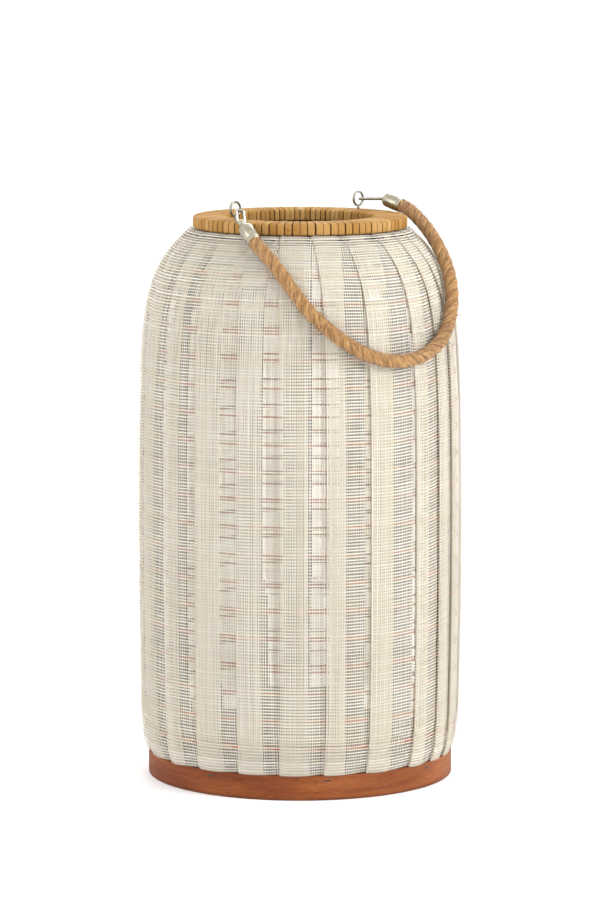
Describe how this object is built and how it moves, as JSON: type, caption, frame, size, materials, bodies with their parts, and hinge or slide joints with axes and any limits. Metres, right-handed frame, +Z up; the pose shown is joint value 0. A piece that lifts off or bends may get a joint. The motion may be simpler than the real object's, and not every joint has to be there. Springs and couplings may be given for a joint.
{
  "type": "hanging lantern",
  "caption": "Tall round lantern: a bamboo and rattan basket under pleated gauze on a wooden hoop base, with a reed-wrapped open top, rope handle and loose candle glass.",
  "frame": {"origin": "centre of the underside, on the surface that the lantern stands on", "axes": "+Z up; -Y is the front; +X is to the right seen from the front. The handle rests over the front right."},
  "size_m": [0.2874, 0.2925, 0.5178],
  "materials": {
    "hoop_wood": "stained and waxed bent wood, satin",
    "floor_board": "dark stained board, matte",
    "bamboo": "dark stained bamboo, satin",
    "rattan": "red-brown rattan, satin",
    "gauze": "open plain-weave cotton gauze, cream",
    "reed": "flat peeled reed, natural",
    "ring_core": "plain board",
    "staple": "darkened steel",
    "zinc": "zinc-plated wire",
    "nickel": "brushed nickel",
    "jute": "laid jute rope",
    "glass": "clear"
  },
  "bodies": {
    "lantern_body": {"base_hoop": "hoop_wood", "floor_board": "floor_board", "bottom_inner_rim": "bamboo", "base_staple_1": "staple", "base_staple_2": "staple", "base_staple_3": "staple", "base_staple_4": "staple", "base_staple_5": "staple", "base_staple_6": "staple", "base_staple_7": "staple", "base_staple_8": "staple", "bamboo_slat_01": "bamboo", "bamboo_slat_02": "bamboo", "bamboo_slat_03": "bamboo", "bamboo_slat_04": "bamboo", "bamboo_slat_05": "bamboo", "bamboo_slat_06": "bamboo", "bamboo_slat_07": "bamboo", "bamboo_slat_08": "bamboo", "bamboo_slat_09": "bamboo", "bamboo_slat_10": "bamboo", "bamboo_slat_11": "bamboo", "bamboo_slat_12": "bamboo", "bamboo_slat_13": "bamboo", "bamboo_slat_14": "bamboo", "bamboo_slat_15": "bamboo", "bamboo_slat_16": "bamboo", "bamboo_slat_17": "bamboo", "bamboo_slat_18": "bamboo", "bamboo_slat_19": "bamboo", "rattan_rod_01": "rattan", "rattan_rod_02": "rattan", "rattan_rod_03": "rattan", "rattan_rod_04": "rattan", "rattan_rod_05": "rattan", "rattan_rod_06": "rattan", "rattan_rod_07": "rattan", "rattan_rod_08": "rattan", "rattan_rod_09": "rattan", "rattan_rod_10": "rattan", "rattan_rod_11": "rattan", "rattan_rod_12": "rattan", "rattan_rod_13": "rattan", "rattan_rod_14": "rattan", "rattan_rod_15": "rattan", "rattan_rod_16": "rattan", "rattan_rod_17": "rattan", "rattan_rod_18": "rattan", "gauze_cover": "gauze", "top_ring_wrap": "reed", "top_ring_core": "ring_core", "eye_screw_left": "zinc", "eye_screw_right": "zinc"},
    "handle": {"handle_rope": "jute", "ferrule_left": "nickel", "ferrule_right": "nickel", "handle_link_left": "zinc", "handle_link_right": "zinc"},
    "candle_glass": {"candle_glass": "glass"}
  },
  "joints": [
    {"name": "handle_swing", "type": "hinge", "parent": "lantern_body", "child": "handle", "pos_m": [0.05248, 0.06038, 0.5106], "axis": [-0.682, -0.7314, 0], "range_deg": [0, 180]},
    {"name": "glass_lift", "type": "slide", "parent": "lantern_body", "child": "candle_glass", "axis": [0, 0, 1], "range_m": [0, 0.52]}
  ]
}
